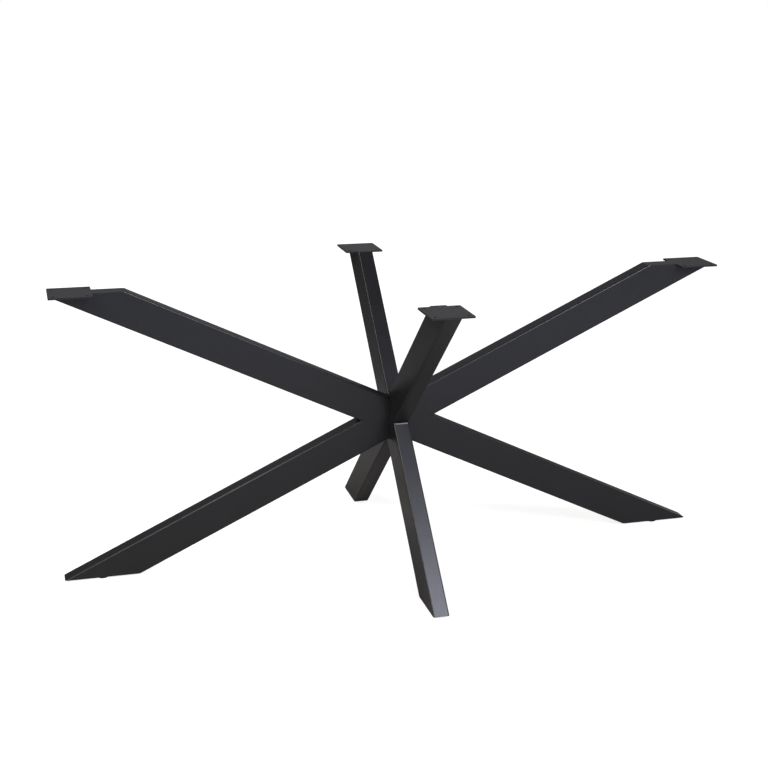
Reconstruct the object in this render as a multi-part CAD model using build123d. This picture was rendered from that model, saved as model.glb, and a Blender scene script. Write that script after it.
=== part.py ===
from build123d import *
from math import asin, atan2, cos, hypot, sin
import os

os.makedirs("parts", exist_ok=True)

# Crossed-tube base for a dining table. Two flat crosses of rectangular steel tube stand at
# right angles and pass through one hub at mid height: a wide one along X and a narrow one
# along Y. The floor is z = 0 and the hub's axis is the Z axis. All sizes are in millimetres.

# Overall sizes
total_height = 720          # floor to the top of the mounting flanges
wide_span = 1670            # tip to tip of the wide cross, at the flanges and at the floor
narrow_span = 800           # tip to tip of the narrow cross

# Tube section
tube_depth = 80             # seen from the side of a cross
tube_width = 40             # thickness of a cross
tube_wall = 2
tube_corner = 4             # outer corner radius
cope_clearance = 0.01       # between a tube's coped end and the tube that it lies on

# Closing plates at the top, each with a square flange for the table top's screws
top_plate_thickness = 4
flange_size = 100
flange_corner = 3
screw_hole = 7
screw_inset = 12            # from the flange's edges to the hole's centre

# Closing plates at the floor, ground flush with the tubes
bottom_plate_thickness = 3
bottom_plate_hole = 9       # the stud passes it freely

# Threaded nuts welded on the bottom plates, inside the tubes
nut_across_flats = 13
nut_height = 6.5
thread_diameter = 8
thread_play = 0.1           # radial, between the plain stud and the plain bore

# Levelling feet: a nylon pad moulded on the low hexagon head of a steel stud
pad_diameter = 30
pad_height = 5.7
pad_gap = 0.3               # between the pad and the bottom plate with the foot screwed right in
stud_head_across_flats = 13
stud_head_height = 2.2
stud_head_cover = 1.6       # nylon left under the stud's head
foot_travel = 10            # how far a foot can be screwed out
stud_spare = 4              # thread left above the nut with the foot screwed right out

# Heights that follow
foot_height = pad_height + pad_gap
low_cut = foot_height + bottom_plate_thickness
high_cut = total_height - top_plate_thickness
half_rise = (high_cut - foot_height) / 2
hub_height = foot_height + half_rise
hub = Vector(0, 0, hub_height)


def slope(half_span):
    """Rise of a tube that reaches half_span at the flange's underside and at the floor plate's."""
    return atan2(half_rise, half_span) + asin(tube_depth / 2 / hypot(half_span, half_rise))


def mouth_start(half_span):
    """Distance from the hub's axis at which a tube's level end begins."""
    return half_span - tube_depth / sin(slope(half_span))


wide_half = wide_span / 2
narrow_half = narrow_span / 2
wide_slope = slope(wide_half)
narrow_slope = slope(narrow_half)

# The four ends: name, heading seen from above in degrees, and reach from the hub's axis
ends = [
    ("left", 180, wide_half),
    ("right", 0, wide_half),
    ("front", -90, narrow_half),
    ("back", 90, narrow_half),
]


outside = RectangleRounded(tube_depth, tube_width, tube_corner)
inside = RectangleRounded(tube_depth - 2 * tube_wall, tube_width - 2 * tube_wall, tube_corner - tube_wall)
cope_outline = offset(outside, cope_clearance)


def run(heading, rise, section):
    """A straight bar of one section through the hub, over-long, climbing towards the heading."""
    along = Vector(cos(rise) * heading.X, cos(rise) * heading.Y, sin(rise))
    across = Vector(-sin(rise) * heading.X, -sin(rise) * heading.Y, cos(rise))
    start = Plane(origin=hub, x_dir=across, z_dir=along)
    return extrude(start * section, amount=wide_span, both=True)


def block(x_range, y_range, z_range):
    """A plain box between two values on each axis, used for cutting."""
    size = [high - low for low, high in (x_range, y_range, z_range)]
    centre = [(high + low) / 2 for low, high in (x_range, y_range, z_range)]
    return Pos(*centre) * Box(*size)


far = 2 * wide_span
between_cuts = block((-far, far), (-far, far), (low_cut, high_cut))
to_right = Vector(1, 0, 0)
to_left = Vector(-1, 0, 0)
to_front = Vector(0, -1, 0)
to_back = Vector(0, 1, 0)

# Wide cross: one tube runs through from the upper left to the lower right, and the other
# diagonal is two shorter tubes, coped to lie on the through tube's edges and flush beside it.
long_tube_through = run(to_left, wide_slope, outside - inside) & between_cuts
other_diagonal = run(to_right, wide_slope, outside - inside) & between_cuts
other_diagonal -= run(to_left, wide_slope, cope_outline)
long_tube_lower_left, long_tube_upper_right = other_diagonal.solids().sort_by(Axis.X)

# Narrow cross: four tubes, each kept to its own quarter, so that upper and lower tubes meet
# in a level mitre and front and back tubes in an upright one. Their inner ends are coped
# round the wide cross, which stands between them.
quarters = {
    "upper_front": (to_front, (-far, 0), (hub_height, high_cut)),
    "lower_front": (to_back, (-far, 0), (low_cut, hub_height)),
    "upper_back": (to_back, (0, far), (hub_height, high_cut)),
    "lower_back": (to_front, (0, far), (low_cut, hub_height)),
}
short_tubes = {}
for quarter, (heading, y_range, z_range) in quarters.items():
    kept = run(heading, narrow_slope, outside - inside) & block((-far, far), y_range, z_range)
    kept -= run(to_left, wide_slope, cope_outline)
    kept -= run(to_right, wide_slope, cope_outline)
    short_tubes[quarter] = kept.solids().sort_by(SortBy.VOLUME)[-1]


def foot_place(reach):
    """Distance of a foot from the hub's axis: the middle of the tube's level end."""
    return (mouth_start(reach) + reach) / 2


def top_plate(reach):
    """A flat sheet that closes a tube, ground flush with it, and widens into a screw flange."""
    flange_centre = reach - flange_size / 2
    flange = extrude(RectangleRounded(flange_size, flange_size, flange_corner), amount=top_plate_thickness)
    flange = Pos(flange_centre, 0, high_cut) * flange
    sheet = block((0, reach), (-far, far), (high_cut, total_height))
    tongue = run(to_right, slope(reach), outside) & sheet
    hole_spacing = flange_size - 2 * screw_inset
    hole = extrude(Circle(screw_hole / 2), amount=top_plate_thickness)
    holes = Pos(flange_centre, 0, high_cut) * GridLocations(hole_spacing, hole_spacing, 2, 2) * hole
    return flange + tongue - holes


def bottom_plate(reach):
    """A flat strip that closes a tube at the floor, ground flush with it, with the stud's hole."""
    sheet = block((0, far), (-far, far), (foot_height, low_cut))
    strip = run(to_left, slope(reach), outside) & sheet
    hole = extrude(Circle(bottom_plate_hole / 2), amount=bottom_plate_thickness)
    return strip - Pos(foot_place(reach), 0, foot_height) * hole


def weld_nut(reach):
    """A hexagon nut on the bottom plate's upper side."""
    profile = RegularPolygon(nut_across_flats / 2, 6, major_radius=False) - Circle(thread_diameter / 2)
    return Pos(foot_place(reach), 0, low_cut) * extrude(profile, amount=nut_height)


def foot_stud(reach):
    """A stud with a low hexagon head, which keeps it from turning in the pad."""
    stud_top = low_cut + nut_height + foot_travel + stud_spare
    head_outline = RegularPolygon(stud_head_across_flats / 2, 6, major_radius=False)
    head = Pos(0, 0, stud_head_cover) * extrude(head_outline, amount=stud_head_height)
    shank_start = stud_head_cover + stud_head_height
    shank_outline = Circle(thread_diameter / 2 - thread_play)
    shank = Pos(0, 0, shank_start) * extrude(shank_outline, amount=stud_top - shank_start)
    return Pos(foot_place(reach), 0, 0) * (head + shank)


def foot_pad(reach):
    """The nylon pad: a low disc with the stud's head enclosed."""
    disc = extrude(Circle(pad_diameter / 2), amount=pad_height)
    return Pos(foot_place(reach), 0, 0) * disc - foot_stud(reach)


nodes = {
    "long_tube_through": long_tube_through,
    "long_tube_upper_right": long_tube_upper_right,
    "long_tube_lower_left": long_tube_lower_left,
}
for quarter, tube in short_tubes.items():
    nodes[f"short_tube_{quarter}"] = tube
for end, heading, reach in ends:
    turn = Rot(0, 0, heading)
    nodes[f"top_plate_{end}"] = turn * top_plate(reach)
    nodes[f"bottom_plate_{end}"] = turn * bottom_plate(reach)
    nodes[f"weld_nut_{end}"] = turn * weld_nut(reach)
    nodes[f"foot_stud_{end}"] = turn * foot_stud(reach)
    nodes[f"foot_pad_{end}"] = turn * foot_pad(reach)

for name, shape in nodes.items():
    solids = shape.solids()
    solid = solids[0] if len(solids) == 1 else Compound(children=list(solids))
    export_step(solid, f"parts/{name}.step")
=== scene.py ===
import math

import bmesh
import bpy
from mathutils import Matrix, Vector


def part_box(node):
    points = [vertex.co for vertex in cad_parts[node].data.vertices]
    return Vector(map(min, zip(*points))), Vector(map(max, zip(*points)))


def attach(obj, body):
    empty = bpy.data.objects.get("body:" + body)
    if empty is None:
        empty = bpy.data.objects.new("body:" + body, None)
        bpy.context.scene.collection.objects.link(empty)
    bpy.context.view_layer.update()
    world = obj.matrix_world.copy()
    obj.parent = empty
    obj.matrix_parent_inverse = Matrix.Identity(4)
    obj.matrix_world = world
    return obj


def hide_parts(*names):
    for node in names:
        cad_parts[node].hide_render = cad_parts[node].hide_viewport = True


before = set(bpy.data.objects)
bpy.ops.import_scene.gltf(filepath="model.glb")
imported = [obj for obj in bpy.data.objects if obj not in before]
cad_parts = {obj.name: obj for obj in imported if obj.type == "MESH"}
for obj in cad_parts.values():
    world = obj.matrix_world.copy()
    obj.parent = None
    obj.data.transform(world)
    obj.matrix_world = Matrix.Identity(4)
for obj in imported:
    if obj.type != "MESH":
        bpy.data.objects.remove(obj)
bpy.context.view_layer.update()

# The two crosses: rectangular mild-steel tube, 80 x 40 mm with rounded corners, sawn level at both
# ends, coped at the hub and welded there with the seams ground flush. The whole base is sprayed with
# black powder and baked, which leaves a hard satin skin with a fine grain and a faint orange peel.


class Field:
    """One value of a finish as it varies over the surface. Sums and products add Math nodes."""

    def __init__(self, finish, socket):
        self.finish = finish
        self.socket = socket

    def worked(self, operation, first, second):
        return self.finish.node("ShaderNodeMath", {"operation": operation}, {0: first, 1: second}, 0)

    def __add__(self, other):
        return self.worked("ADD", self, other)

    def __sub__(self, other):
        return self.worked("SUBTRACT", self, other)

    def __mul__(self, other):
        return self.worked("MULTIPLY", self, other)

    __radd__ = __add__


class Finish:
    """A node-based finish on a material or the world. Fields are the values that its nodes give."""

    def __init__(self, owner):
        owner.use_nodes = True
        self.owner = owner
        self.tree = owner.node_tree
        self.tree.nodes.clear()

    def node(self, kind, settings, sockets, output=None):
        """Adds a node with its settings first and then its sockets' values or links."""
        made = self.tree.nodes.new(kind)
        for name, value in settings.items():
            setattr(made, name, value)
        for name, value in sockets.items():
            if isinstance(value, Field):
                self.tree.links.new(value.socket, made.inputs[name])
            else:
                made.inputs[name].default_value = value
        return None if output is None else Field(self, made.outputs[output])

    def noise(self, where, lump, detail, softness):
        """Cloudy variation from 0 to 1 with lumps about that many metres across."""
        sockets = {"Vector": where, "Scale": 1 / lump, "Detail": detail, "Roughness": softness}
        return self.node("ShaderNodeTexNoise", {"noise_dimensions": "3D"}, sockets, "Fac")

    def blend(self, amount, first, second):
        """A colour between the first and the second."""
        settings = {"data_type": "RGBA", "clamp_factor": True}
        return self.node("ShaderNodeMix", settings, {0: amount, 6: first, 7: second}, 2)

    def rise(self, distance, start, end):
        """Climbs softly from 0 to 1 as the distance goes from start to end."""
        settings = {"interpolation_type": "SMOOTHSTEP"}
        return self.node("ShaderNodeMapRange", settings, {0: distance, 1: start, 2: end}, 0)

    def bumps(self, height, relief):
        """The normal of a surface whose highs stand that many metres over its lows."""
        return self.node("ShaderNodeBump", {}, {"Distance": relief, "Height": height}, "Normal")

    def painted(self, sockets):
        """Ends the finish in one Principled shader with these sockets."""
        shader = self.node("ShaderNodeBsdfPrincipled", {}, sockets, "BSDF")
        self.node("ShaderNodeOutputMaterial", {}, {"Surface": shader})


def nodes_named(start):
    """The CAD nodes whose names begin so, in order of name."""
    return [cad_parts[name] for name in sorted(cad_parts) if name.startswith(start)]


def dress(piece, finish):
    """Gives a piece one finish all over."""
    if not piece.material_slots:
        piece.data.materials.append(finish.owner)
    for place in piece.material_slots:
        place.material = finish.owner


coat_dark = (0.0080, 0.0081, 0.0085, 1.0)
coat_light = (0.0120, 0.0121, 0.0125, 1.0)
coat_grain = 0.0007
coat_peel = 0.0035
coat_cloud = 0.08
coat_relief = 0.000035
coat_grain_height = 0.5
coat_cloud_share = 0.7
coat_grain_share = 0.3
coat_roughness = 0.27
coat_cloud_roughness = 0.08
coat_grain_roughness = 0.04
coat_ior = 1.42

powder_coat = Finish(bpy.data.materials.new("satin_black_powder_coat"))
surface = powder_coat.node("ShaderNodeTexCoord", {}, {}, "Object")
grain = powder_coat.noise(surface, coat_grain, detail=2.0, softness=0.55)
peel = powder_coat.noise(surface, coat_peel, detail=1.0, softness=0.4)
cloud = powder_coat.noise(surface, coat_cloud, detail=3.0, softness=0.5)
powder_coat.painted({
    "Base Color": powder_coat.blend(cloud * coat_cloud_share + grain * coat_grain_share,
                                    coat_dark, coat_light),
    "Roughness": coat_roughness + cloud * coat_cloud_roughness + grain * coat_grain_roughness,
    "IOR": coat_ior,
    "Normal": powder_coat.bumps(grain * coat_grain_height + peel, coat_relief),
})

for tube in nodes_named("long_tube") + nodes_named("short_tube"):
    dress(tube, powder_coat)

# The four screw flanges and the four floor strips: laser-cut sheet, 4 and 3 mm thick, that closes
# the tubes' level mouths. They are welded on, ground flush with the tubes' sides and coated with them.

for plate in nodes_named("top_plate") + nodes_named("bottom_plate"):
    dress(plate, powder_coat)

# Weld seams: one fillet of MIG weld along each side of a tube under its flange, and one in the level
# crease between an upper and a lower narrow tube, front and back. The coat covers them with the rest.

weld_leg = 0.003
weld_ripple_pitch = 0.0016
weld_ripple_height = 0.05
weld_ripple_lag = 0.5
weld_crown = 0.12
weld_end_fullness = 0.02
weld_step = 0.0004
weld_arc_points = 6
tube_half_width = 0.020


def shaped(name, work, finish, body):
    """Turns finished mesh work into a smooth piece with its finish, body and material slot."""
    mesh = bpy.data.meshes.new(name)
    bmesh.ops.recalc_face_normals(work, faces=work.faces)
    work.to_mesh(mesh)
    work.free()
    mesh.shade_smooth()
    piece = bpy.data.objects.new(name, mesh)
    bpy.context.collection.objects.link(piece)
    dress(piece, finish)
    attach(piece, body)
    return piece


def skinned(work, rows, closed):
    """Joins rows of points with faces. A closed row's last point joins its first."""
    rows = [[work.verts.new(point) for point in row] for row in rows]
    for near, far in zip(rows, rows[1:]):
        count = len(near)
        for index in range(count if closed else count - 1):
            after = (index + 1) % count
            work.faces.new((near[index], near[after], far[after], far[index]))
    return rows


def weld_bead(name, start, finish_at, first_wall, second_wall,
              first_leg=weld_leg, second_leg=weld_leg):
    """A rippled fillet along an inner corner, between two walls that leave the corner as given."""
    start, finish_at = Vector(start), Vector(finish_at)
    first_wall, second_wall = Vector(first_wall), Vector(second_wall)
    length = (finish_at - start).length
    along = (finish_at - start) / length
    steps = round(length / weld_step)
    rows = []
    for step in range(steps + 1):
        travel = length * step / steps
        to_end = min(travel, length - travel) / weld_leg
        fullness = math.sqrt(max(weld_end_fullness, 1 - (1 - min(1, to_end)) ** 2))
        row = [start + along * travel]
        for place in range(weld_arc_points + 1):
            turn = math.pi / 2 * place / weld_arc_points
            lag = weld_ripple_lag * weld_leg * math.sin(2 * turn)
            ripple_turn = 2 * math.pi * (travel - lag) / weld_ripple_pitch
            ripple = 1 + weld_ripple_height * math.sin(ripple_turn)
            share = place / weld_arc_points
            crown = 1 + weld_crown * math.sin(2 * turn)
            off_first = first_leg * fullness * ripple * (1 - share) * crown
            off_second = second_leg * fullness * ripple * share * crown
            row.append(row[0] + first_wall * off_first + second_wall * off_second)
        rows.append(row)
    bead = bmesh.new()
    rows = skinned(bead, rows, True)
    bead.faces.new(rows[0])
    bead.faces.new(rows[-1])
    return shaped(name, bead, powder_coat, "frame")


outward = {"left": (-1, 0), "right": (1, 0), "front": (0, -1), "back": (0, 1)}
flange_reach = 0.1
bead_margin = 0.006
bead_margin_at_tip = 0.018

for end, (out_x, out_y) in outward.items():
    plate_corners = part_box("top_plate_" + end)
    stand = Vector((out_x, out_y, 0))
    aside = Vector((-out_y, out_x, 0))
    tip = max(abs(corner[0] * out_x + corner[1] * out_y) for corner in plate_corners)
    underside = Vector((0, 0, plate_corners[0][2]))
    for hand, sign in (("a", 1), ("b", -1)):
        corner = underside + aside * sign * tube_half_width
        weld_bead("weld_" + end + "_" + hand,
                  corner + stand * (tip - flange_reach + bead_margin),
                  corner + stand * (tip - bead_margin_at_tip),
                  aside * sign, (0, 0, -1))

narrow_slope = math.radians(45.88)
tube_half_depth = 0.040
tube_corner = 0.004
hub_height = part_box("short_tube_lower_front")[1][2]
crease_reach = tube_half_depth / math.sin(narrow_slope)
crease_half_length = tube_half_width - tube_corner / 2
crease_upper_leg = 0.0012
crease_lower_leg = 0.0048

for end in ("front", "back"):
    out_y = outward[end][1]
    weld_bead("weld_crease_" + end,
              (-crease_half_length, out_y * crease_reach, hub_height),
              (crease_half_length, out_y * crease_reach, hub_height),
              (0, out_y * math.cos(narrow_slope), math.sin(narrow_slope)),
              (0, out_y * math.cos(narrow_slope), -math.sin(narrow_slope)),
              crease_upper_leg, crease_lower_leg)

# Levelling studs: M8 steel, cold headed with a low hexagon head and rolled threads, then bright zinc
# plated. Each turns in a plain nut that is welded inside the tube, on the floor strip.

zinc_dark = (0.50, 0.50, 0.49, 1.0)
zinc_light = (0.66, 0.66, 0.64, 1.0)
zinc_patch = 0.0025
zinc_relief = 0.00001
zinc_roughness = 0.26
zinc_spangle_roughness = 0.14

zinc = Finish(bpy.data.materials.new("bright_zinc_plate"))
surface = zinc.node("ShaderNodeTexCoord", {}, {}, "Object")
spangle = zinc.noise(surface, zinc_patch, detail=3.0, softness=0.5)
zinc.painted({
    "Base Color": zinc.blend(spangle, zinc_dark, zinc_light),
    "Metallic": 1.0,
    "Roughness": zinc_roughness + spangle * zinc_spangle_roughness,
    "Normal": zinc.bumps(spangle, zinc_relief),
})
for nut in nodes_named("weld_nut"):
    dress(nut, zinc)

thread_pitch = 0.00125
thread_crest_radius = 0.0039
thread_root_radius = 0.00323
thread_points_a_turn = 32
thread_profile = ((0.0, 0.0), (0.25, 0.0), (0.5625, 1.0), (0.6875, 1.0))
stud_lead_in = 0.0009
head_floor = 0.0016
head_top = 0.0038
head_across_flats = 0.013
head_bevel = 0.0004
stud_sharp_edge = math.radians(32)
merge_distance = 0.000002


def thread_point(turns, share, height, low, high):
    """A point on the thread's surface, kept between the shank's ends and inside their chamfers."""
    z = min(max(low + (turns + share - 1) * thread_pitch, low), high)
    radius = thread_root_radius + height * (thread_crest_radius - thread_root_radius)
    radius = min(radius, thread_root_radius - stud_lead_in / 2 + (high - z))
    angle = 2 * math.pi * turns
    return Vector((radius * math.cos(angle), radius * math.sin(angle), z))


def threaded_stud(name, centre, low, high, body):
    """A stud with its helical thread between two heights and its hexagon head under it."""
    work = bmesh.new()
    turns_made = math.ceil((high - low) / thread_pitch) + 1
    rows = []
    for step in range(turns_made * thread_points_a_turn + 1):
        turns = step / thread_points_a_turn
        row = [thread_point(turns, share, height, low, high) for share, height in thread_profile]
        row.append(thread_point(turns, 1.0, 0.0, low, high))
        rows.append(row)
    skinned(work, rows, False)
    bmesh.ops.remove_doubles(work, verts=work.verts, dist=merge_distance)
    bmesh.ops.holes_fill(work, edges=[edge for edge in work.edges if edge.is_boundary], sides=0)
    head_radius = head_across_flats / 2 / math.cos(math.pi / 6)
    hexagon = []
    for z, inset in ((head_floor, head_bevel), (head_floor + head_bevel, 0.0),
                     (head_top - head_bevel, 0.0), (head_top, head_bevel)):
        corners = [math.pi / 3 * corner for corner in range(6)]
        radius = head_radius - inset
        hexagon.append([Vector((radius * math.cos(a), radius * math.sin(a), z)) for a in corners])
    hexagon = skinned(work, hexagon, True)
    work.faces.new(hexagon[0])
    work.faces.new(hexagon[-1])
    bmesh.ops.translate(work, verts=work.verts, vec=centre)
    return shaped(name, work, zinc, body)


for end in outward:
    low_corner, high_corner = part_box("foot_stud_" + end)
    centre = Vector(((low_corner[0] + high_corner[0]) / 2, (low_corner[1] + high_corner[1]) / 2, 0))
    stud = threaded_stud("stud_" + end, centre, head_top, high_corner[2], "foot_" + end)
    stud.data.set_sharp_from_angle(angle=stud_sharp_edge)
    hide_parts("foot_stud_" + end)

# Foot pads: black nylon, injection moulded round the studs' heads. The outer edges are rounded, the
# sole is slightly dished, and a low collar stands round the stud. The mould's spark texture is even
# and duller than the coat.

nylon_dark = (0.014, 0.014, 0.0145, 1.0)
nylon_light = (0.021, 0.021, 0.0215, 1.0)
nylon_texture = 0.0004
nylon_flow = 0.006
nylon_relief = 0.00002
nylon_texture_share = 0.5
nylon_flow_share = 0.5
nylon_roughness = 0.50
nylon_flow_roughness = 0.12
nylon_ior = 1.53

nylon = Finish(bpy.data.materials.new("moulded_black_nylon"))
surface = nylon.node("ShaderNodeTexCoord", {}, {}, "Object")
mould_texture = nylon.noise(surface, nylon_texture, detail=2.0, softness=0.6)
flow = nylon.noise(surface, nylon_flow, detail=2.0, softness=0.5)
nylon.painted({
    "Base Color": nylon.blend(mould_texture * nylon_texture_share + flow * nylon_flow_share,
                              nylon_dark, nylon_light),
    "Roughness": nylon_roughness + flow * nylon_flow_roughness,
    "IOR": nylon_ior,
    "Normal": nylon.bumps(mould_texture, nylon_relief),
})

pad_points_round = 72
pad_sharp_edge = math.radians(50)
mm_in_a_metre = 1000
pad_profile_mm = (
    (0.0, 0.30), (9.0, 0.25), (12.2, 0.0), (13.2, 0.03), (14.0, 0.25), (14.6, 0.70), (14.95, 1.4),
    (15.0, 2.0), (14.9, 4.6), (14.75, 5.1), (14.4, 5.4), (13.9, 5.5), (7.6, 5.5), (7.2, 5.6),
    (6.9, 5.7), (4.6, 5.7), (4.3, 5.6), (4.2, 5.3), (4.2, 4.0), (0.0, 4.0),
)

for end in outward:
    low_corner, high_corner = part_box("foot_pad_" + end)
    centre = Vector(((low_corner[0] + high_corner[0]) / 2, (low_corner[1] + high_corner[1]) / 2, 0))
    disc = bmesh.new()
    rows = []
    for radius, height in pad_profile_mm:
        angles = [2 * math.pi * point / pad_points_round for point in range(pad_points_round)]
        ring = [Vector((radius * math.cos(a), radius * math.sin(a), height)) for a in angles]
        rows.append([point / mm_in_a_metre for point in ring])
    skinned(disc, rows, True)
    bmesh.ops.remove_doubles(disc, verts=disc.verts, dist=merge_distance)
    bmesh.ops.translate(disc, verts=disc.verts, vec=centre)
    pad = shaped("pad_" + end, disc, nylon, "foot_" + end)
    pad.data.set_sharp_from_angle(angle=pad_sharp_edge)
    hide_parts("foot_pad_" + end)

# The floor: a white studio sweep that ends beyond the picture. It is matt and keeps the base's
# soft shadow, and the camera sees it as white. Its paint, which the coat mirrors, is a warm grey near
# the base with painted shade darkest under the hub, a neutral grey in front, and painted shade well
# behind.

floor_radius = 9.0
floor_edges = 96
# The tone under the hub and the tone well behind are painted shade; the coat mirrors them.
floor_painted_shade_under = (0.225, 0.212, 0.198, 1.0)
floor_paint_open = (0.42, 0.40, 0.372, 1.0)
floor_paint_far = (0.435, 0.44, 0.45, 1.0)
floor_painted_shade_behind = (0.27, 0.265, 0.26, 1.0)
# Middle and reach of the painted shade round the hub's foot.
painted_shade_middle = (0.06, -0.12, 0.0)
painted_shade_starts = 0.16
painted_shade_ends = 0.40
far_paint_starts = 0.7
far_paint_ends = 1.5
to_back = (0.0, 1.0, 0.0)
behind_starts = 0.9
behind_ends = 1.6
floor_glow_near = (0.86, 0.86, 0.86, 1.0)
floor_glow_far = (1.1, 1.1, 1.1, 1.0)
glow_starts = 1.0
glow_ends = 2.6

floor_mesh = bpy.data.meshes.new("studio_floor")
disc = bmesh.new()
bmesh.ops.create_circle(disc, cap_ends=True, segments=floor_edges, radius=floor_radius)
disc.to_mesh(floor_mesh)
disc.free()
floor = bpy.data.objects.new("studio_floor", floor_mesh)
bpy.context.collection.objects.link(floor)

floor_paint = Finish(bpy.data.materials.new("white_studio_floor"))
place = floor_paint.node("ShaderNodeNewGeometry", {}, {}, "Position")
away = floor_paint.node("ShaderNodeVectorMath", {"operation": "LENGTH"}, {0: place}, "Value")
far_off = floor_paint.rise(away, glow_starts, glow_ends)
seen = floor_paint.node("ShaderNodeLightPath", {}, {}, "Is Camera Ray")
from_middle = floor_paint.node("ShaderNodeVectorMath", {"operation": "DISTANCE"},
                               {0: place, 1: painted_shade_middle}, "Value")
# Painted shade: darkest round the hub's foot, rising to the open tone further out.
out_of_painted_shade = floor_paint.rise(from_middle, painted_shade_starts, painted_shade_ends)
well_away = floor_paint.rise(from_middle, far_paint_starts, far_paint_ends)
paint = floor_paint.blend(out_of_painted_shade, floor_painted_shade_under, floor_paint_open)
paint = floor_paint.blend(well_away, paint, floor_paint_far)
# Painted shade well behind the base, which the coat mirrors.
how_far_back = floor_paint.node("ShaderNodeVectorMath", {"operation": "DOT_PRODUCT"},
                                {0: place, 1: to_back}, "Value")
behind = floor_paint.rise(how_far_back, behind_starts, behind_ends)
paint = floor_paint.blend(behind, paint, floor_painted_shade_behind)
lit = floor_paint.node("ShaderNodeBsdfDiffuse", {}, {"Color": paint}, "BSDF")
shine = floor_paint.blend(far_off, floor_glow_near, floor_glow_far)
glow = floor_paint.node("ShaderNodeEmission", {}, {"Color": shine, "Strength": 1.0}, "Emission")
both = floor_paint.node("ShaderNodeAddShader", {}, {0: lit, 1: glow}, 0)
shown = floor_paint.node("ShaderNodeMixShader", {}, {0: seen, 1: lit, 2: both}, 0)
floor_paint.node("ShaderNodeOutputMaterial", {}, {"Surface": shown})
floor.data.materials.append(floor_paint.owner)

# The room: white where the camera looks. For light and reflections it is a plain dark room, paler
# low on the walls in front and at both sides, with a soft grey backdrop behind the base.

room_base = (0.02, 0.02, 0.02, 1.0)
room_parts = (
    (180, 20, 20, (0.24, 0.24, 0.26)),
    (155, 13, 14, (0.26, 0.26, 0.27)),
    (270, 18, 24, (0.90, 0.84, 0.74)),
    (100, 24, 22, (0.70, 0.65, 0.58)),
    (0, 12, 25, (0.25, 0.30, 0.40)),
)

world = bpy.data.worlds.new("studio")
bpy.context.scene.world = world
room = Finish(world)
towards = room.node("ShaderNodeTexCoord", {}, {}, "Generated")
light_sum = room_base[:3]
for heading, rise, spread, tint in room_parts:
    heading, rise = math.radians(heading), math.radians(rise)
    aim = (math.sin(heading) * math.cos(rise), -math.cos(heading) * math.cos(rise), math.sin(rise))
    facing = room.node("ShaderNodeVectorMath", {"operation": "DOT_PRODUCT"},
                       {0: towards, 1: aim}, "Value")
    fade = (facing - 1) * (2 / math.radians(spread) ** 2)
    lobe = room.node("ShaderNodeMath", {"operation": "EXPONENT"}, {0: fade}, 0)
    light_sum = room.node("ShaderNodeVectorMath", {"operation": "MULTIPLY_ADD"},
                          {0: lobe, 1: tint, 2: light_sum}, 0)
seen = room.node("ShaderNodeLightPath", {}, {}, "Is Camera Ray")
white = room.node("ShaderNodeBackground", {}, {"Color": (1, 1, 1, 1), "Strength": 1.0}, 0)
soft = room.node("ShaderNodeBackground", {}, {"Color": light_sum, "Strength": 1.0}, 0)
mixed = room.node("ShaderNodeMixShader", {}, {0: seen, 1: soft, 2: white}, 0)
room.node("ShaderNodeOutputWorld", {}, {"Surface": mixed})

# The lamps: five level softboxes under the ceiling, in front of the base and to its left and right.
# The front ones give the bright streak on the lower front tube, the others the lines along the edges.

panel_height = 2.6


def ceiling_panel(name, x_range, y_range, radiance, tint):
    """A level softbox under the ceiling. Its face has that radiance."""
    width, depth = x_range[1] - x_range[0], y_range[1] - y_range[0]
    light = bpy.data.lights.new(name, "AREA")
    light.shape = "RECTANGLE"
    light.size = width
    light.size_y = depth
    light.energy = radiance * math.pi * width * depth
    light.color = tint
    panel = bpy.data.objects.new(name, light)
    panel.location = (sum(x_range) / 2, sum(y_range) / 2, panel_height)
    bpy.context.collection.objects.link(panel)


ceiling_panel("key_panel", (0.0, 1.6), (-2.4, -1.8), 18.5, (0.83, 0.84, 1.0))
ceiling_panel("front_panel", (0.0, 2.2), (-4.0, -2.4), 14.0, (0.86, 0.88, 1.0))
ceiling_panel("left_panel", (-1.8, -1.3), (-3.0, 1.0), 9.5, (0.97, 0.97, 1.0))
ceiling_panel("side_panel", (-3.3, -1.9), (-1.6, -0.5), 7.5, (1.0, 0.97, 0.92))
ceiling_panel("right_panel", (2.2, 3.2), (-4.0, -2.8), 10.0, (0.92, 0.90, 1.0))

# The camera: at the photograph's angle, above and to the left of the narrow cross's front end. Its
# turns are in radians, and its lens and film width in millimetres.

camera_place = (-0.89332, -2.81414, 1.40167)
camera_yaw = 0.24775
camera_pitch = 0.31446
camera_roll = -0.00808
camera_lens = 58.2028
camera_film_width = 36
camera_shift = 0.07682

forward = Vector((math.sin(camera_yaw) * math.cos(camera_pitch),
                  math.cos(camera_yaw) * math.cos(camera_pitch),
                  -math.sin(camera_pitch)))
level = Vector((math.cos(camera_yaw), -math.sin(camera_yaw), 0))
down = forward.cross(level)
right = math.cos(camera_roll) * level + math.sin(camera_roll) * down
up = math.sin(camera_roll) * level - math.cos(camera_roll) * down
turned = Matrix((right, up, -forward)).transposed()

camera_data = bpy.data.cameras.new("camera")
camera_data.sensor_width = camera_film_width
camera_data.lens = camera_lens
camera_data.shift_x = camera_shift
camera = bpy.data.objects.new("camera", camera_data)
camera.matrix_world = Matrix.Translation(camera_place) @ turned.to_4x4()
bpy.context.collection.objects.link(camera)
bpy.context.scene.camera = camera
bpy.context.scene.view_settings.view_transform = "Standard"
